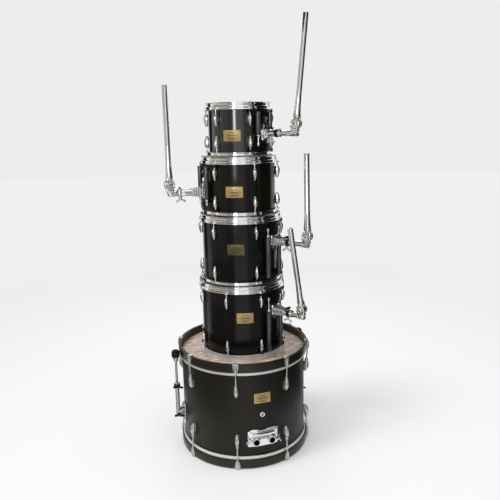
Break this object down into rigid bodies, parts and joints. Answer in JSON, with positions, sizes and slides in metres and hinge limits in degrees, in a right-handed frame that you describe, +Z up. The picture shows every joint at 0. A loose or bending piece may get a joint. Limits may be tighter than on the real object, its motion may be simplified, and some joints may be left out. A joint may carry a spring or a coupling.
{
  "type": "drum shell pack",
  "caption": "Bass drum standing on its front hoop with toms stacked on it, each tom with its own clamp, tilting holder and suspension mount.",
  "frame": {"origin": "centre of the whole pack's footprint box, on the floor", "axes": "+Z up along the stack, -Y the side of the bass drum's tom bracket, +X to its right"},
  "size_m": [0.669, 0.6384, 1.8432],
  "materials": {
    "bass_lacquer": "satin black-brown lacquer on wood",
    "tom_lacquer": "gloss black lacquer on wood",
    "hoop_wood": "dark stained and lacquered wood",
    "head_film": "frosted polyester film",
    "polished_chrome": "polished chrome",
    "satin_chrome": "satin chrome",
    "black_coat": "satin black powder coat",
    "rubber": "matt black"
  },
  "bodies": {
    "bass": {"bass_shell": "bass_lacquer", "bass_batter_head": "head_film", "bass_front_head": "head_film", "bass_batter_hoop": "hoop_wood", "bass_front_hoop": "hoop_wood", "bass_tom_bracket": "satin_chrome", "spur_left_bracket": "satin_chrome", "spur_right_bracket": "satin_chrome"},
    "bass_bracket_wing_left": {"bass_bracket_wing_left": "satin_chrome"},
    "bass_bracket_wing_right": {"bass_bracket_wing_right": "satin_chrome"},
    "spur_left_tube": {"spur_left_tube": "satin_chrome"},
    "spur_left_leg": {"spur_left_leg": "satin_chrome", "spur_left_foot": "rubber"},
    "spur_left_pivot_bolt": {"spur_left_pivot_bolt": "black_coat"},
    "spur_left_clamp_bolt": {"spur_left_clamp_bolt": "black_coat"},
    "spur_right_tube": {"spur_right_tube": "satin_chrome"},
    "spur_right_leg": {"spur_right_leg": "satin_chrome", "spur_right_foot": "rubber"},
    "spur_right_pivot_bolt": {"spur_right_pivot_bolt": "black_coat"},
    "spur_right_clamp_bolt": {"spur_right_clamp_bolt": "black_coat"},
    "tom14": {"tom14_shell": "tom_lacquer", "tom14_batter_head": "head_film", "tom14_resonant_head": "head_film", "tom14_batter_hoop": "polished_chrome", "tom14_resonant_hoop": "polished_chrome", "tom14_mount_frame": "black_coat", "tom14_clamp_bracket": "polished_chrome"},
    "tom14_arm": {"tom14_holder_arm": "polished_chrome"},
    "tom14_post": {"tom14_holder_post": "polished_chrome"},
    "tom14_wing": {"tom14_wing_bolt": "polished_chrome"},
    "tom13": {"tom13_shell": "tom_lacquer", "tom13_batter_head": "head_film", "tom13_resonant_head": "head_film", "tom13_batter_hoop": "polished_chrome", "tom13_resonant_hoop": "polished_chrome", "tom13_mount_frame": "black_coat", "tom13_clamp_bracket": "polished_chrome"},
    "tom13_arm": {"tom13_holder_arm": "polished_chrome"},
    "tom13_post": {"tom13_holder_post": "polished_chrome"},
    "tom13_wing": {"tom13_wing_bolt": "polished_chrome"},
    "tom12": {"tom12_shell": "tom_lacquer", "tom12_batter_head": "head_film", "tom12_resonant_head": "head_film", "tom12_batter_hoop": "polished_chrome", "tom12_resonant_hoop": "polished_chrome", "tom12_mount_frame": "black_coat", "tom12_clamp_bracket": "polished_chrome"},
    "tom12_arm": {"tom12_holder_arm": "polished_chrome"},
    "tom12_post": {"tom12_holder_post": "polished_chrome"},
    "tom12_wing": {"tom12_wing_bolt": "polished_chrome"},
    "tom10": {"tom10_shell": "tom_lacquer", "tom10_batter_head": "head_film", "tom10_resonant_head": "head_film", "tom10_batter_hoop": "polished_chrome", "tom10_resonant_hoop": "polished_chrome", "tom10_mount_frame": "black_coat", "tom10_clamp_bracket": "polished_chrome"},
    "tom10_arm": {"tom10_holder_arm": "polished_chrome"},
    "tom10_post": {"tom10_holder_post": "polished_chrome"},
    "tom10_wing": {"tom10_wing_bolt": "polished_chrome"}
  },
  "joints": [
    {"name": "bass_bracket_wing_left_turn", "type": "hinge", "parent": "bass", "child": "bass_bracket_wing_left", "pos_m": [-0.03283, -0.27174, 0.1285], "axis": [0.9934, -0.1143, 0], "range_deg": [0, 270]},
    {"name": "bass_bracket_wing_right_turn", "type": "hinge", "parent": "bass", "child": "bass_bracket_wing_right", "pos_m": [0.03572, -0.27174, 0.1285], "axis": [-0.9934, -0.1143, 0], "range_deg": [0, 270]},
    {"name": "spur_left_swing", "type": "hinge", "parent": "bass", "child": "spur_left_tube", "pos_m": [-0.31146, 0.02619, 0.1635], "axis": [0, -1, 0], "range_deg": [0, 95]},
    {"name": "spur_left_leg_slide", "type": "slide", "parent": "spur_left_tube", "child": "spur_left_leg", "axis": [0, 0, 1], "range_m": [-0.05, 0.035]},
    {"name": "spur_left_pivot_bolt_turn", "type": "hinge", "parent": "bass", "child": "spur_left_pivot_bolt", "pos_m": [-0.31146, 0.02619, 0.1635], "axis": [0, 1, 0], "range_deg": [0, 270]},
    {"name": "spur_left_clamp_bolt_turn", "type": "hinge", "parent": "spur_left_tube", "child": "spur_left_clamp_bolt", "pos_m": [-0.31146, 0.02619, 0.2995], "axis": [0, 1, 0], "range_deg": [0, 270]},
    {"name": "spur_right_swing", "type": "hinge", "parent": "bass", "child": "spur_right_tube", "pos_m": [0.30505, 0.10189, 0.1635], "axis": [-0.2419, 0.9703, 0], "range_deg": [0, 95]},
    {"name": "spur_right_leg_slide", "type": "slide", "parent": "spur_right_tube", "child": "spur_right_leg", "axis": [0, 0, 1], "range_m": [-0.05, 0.035]},
    {"name": "spur_right_pivot_bolt_turn", "type": "hinge", "parent": "bass", "child": "spur_right_pivot_bolt", "pos_m": [0.30505, 0.10189, 0.1635], "axis": [-0.2419, 0.9703, 0], "range_deg": [0, 270]},
    {"name": "spur_right_clamp_bolt_turn", "type": "hinge", "parent": "spur_right_tube", "child": "spur_right_clamp_bolt", "pos_m": [0.30505, 0.10189, 0.2995], "axis": [-0.2419, 0.9703, 0], "range_deg": [0, 270]},
    {"name": "tom14_lift", "type": "slide", "parent": "bass", "child": "tom14", "axis": [0, 0, 1], "range_m": [0, 0.3]},
    {"name": "tom14_arm_twist", "type": "hinge", "parent": "tom14", "child": "tom14_arm", "pos_m": [0.00144, 0.02619, 0.6581], "axis": [0.5225, -0.8526, 0], "range_deg": [-6, 80]},
    {"name": "tom14_post_tilt", "type": "hinge", "parent": "tom14_arm", "child": "tom14_post", "pos_m": [0.17236, -0.26783, 0.69373], "axis": [0.8324, 0.5101, 0.2164], "range_deg": [-15, 90]},
    {"name": "tom14_wing_turn", "type": "hinge", "parent": "tom14", "child": "tom14_wing", "pos_m": [0.13834, -0.1972, 0.6581], "axis": [0, 0, 1], "range_deg": [0, 270]},
    {"name": "tom13_lift", "type": "slide", "parent": "tom14", "child": "tom13", "axis": [0, 0, 1], "range_m": [0, 0.3]},
    {"name": "tom13_arm_twist", "type": "hinge", "parent": "tom13", "child": "tom13_arm", "pos_m": [0.00144, 0.02619, 0.9584], "axis": [0.5807, -0.8141, 0], "range_deg": [-90, 40]},
    {"name": "tom13_post_tilt", "type": "hinge", "parent": "tom13_arm", "child": "tom13_post", "pos_m": [0.20159, -0.25605, 0.99489], "axis": [0.8138, 0.5805, 0.0262], "range_deg": [-15, 90]},
    {"name": "tom13_wing_turn", "type": "hinge", "parent": "tom13", "child": "tom13_wing", "pos_m": [0.14372, -0.17327, 0.9584], "axis": [0, 0, 1], "range_deg": [0, 270]},
    {"name": "tom12_lift", "type": "slide", "parent": "tom13", "child": "tom12", "axis": [0, 0, 1], "range_m": [0, 0.3]},
    {"name": "tom12_arm_twist", "type": "hinge", "parent": "tom12", "child": "tom12_arm", "pos_m": [0.00144, 0.02619, 1.1663], "axis": [-0.994, -0.1097, 0], "range_deg": [-90, 90]},
    {"name": "tom12_post_tilt", "type": "hinge", "parent": "tom12_arm", "child": "tom12_post", "pos_m": [-0.30775, -0.0073, 1.20279], "axis": [0.1097, -0.9938, 0.0175], "range_deg": [-15, 90]},
    {"name": "tom12_wing_turn", "type": "hinge", "parent": "tom12", "child": "tom12_wing", "pos_m": [-0.26295, -0.003, 1.1663], "axis": [0, 0, 1], "range_deg": [0, 270]},
    {"name": "tom10_lift", "type": "slide", "parent": "tom12", "child": "tom10", "axis": [0, 0, 1], "range_m": [0, 0.3]},
    {"name": "tom10_arm_twist", "type": "hinge", "parent": "tom10", "child": "tom10_arm", "pos_m": [0.00144, 0.02619, 1.4028], "axis": [0.5592, -0.829, 0], "range_deg": [-90, 90]},
    {"name": "tom10_post_tilt", "type": "hinge", "parent": "tom10_arm", "child": "tom10_post", "pos_m": [0.16752, -0.22003, 1.4393], "axis": [0.829, 0.5592, 0], "range_deg": [-20, 84]},
    {"name": "tom10_wing_turn", "type": "hinge", "parent": "tom10", "child": "tom10_wing", "pos_m": [0.09763, -0.1164, 1.4028], "axis": [0, 0, 1], "range_deg": [0, 270]}
  ]
}
